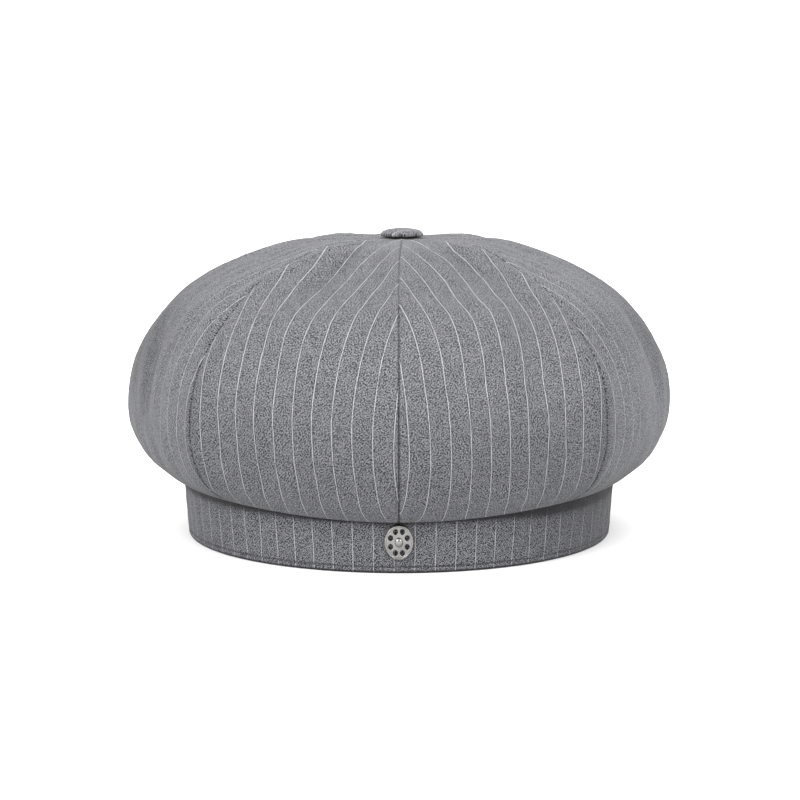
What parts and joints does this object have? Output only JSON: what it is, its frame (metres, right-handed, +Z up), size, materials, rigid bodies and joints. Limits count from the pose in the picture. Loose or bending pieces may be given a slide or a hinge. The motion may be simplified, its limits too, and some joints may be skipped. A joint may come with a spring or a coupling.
{
  "type": "octagon cap",
  "caption": "Full-crowned cloth cap: pinstriped gores meet at a covered button and hang over a straight band with a small pierced metal ornament at the front.",
  "frame": {"origin": "middle of the band's lower edge, on the surface that the cap stands on", "axes": "+Z up to the button; the front of the cap and the wearer's face look along -Y; +X is the wearer's left"},
  "size_m": [0.2364, 0.2361, 0.1326],
  "materials": {
    "pinstripe_cloth": "matte melange wool suiting with pale pinstripes",
    "silver_metal": "polished, silver coloured"
  },
  "bodies": {
    "root": {"crown_panel_1": "pinstripe_cloth", "crown_panel_2": "pinstripe_cloth", "crown_panel_3": "pinstripe_cloth", "crown_panel_4": "pinstripe_cloth", "crown_panel_5": "pinstripe_cloth", "crown_panel_6": "pinstripe_cloth", "crown_panel_7": "pinstripe_cloth", "crown_panel_8": "pinstripe_cloth", "band": "pinstripe_cloth", "top_button": "pinstripe_cloth", "front_ornament": "silver_metal"}
  },
  "joints": []
}
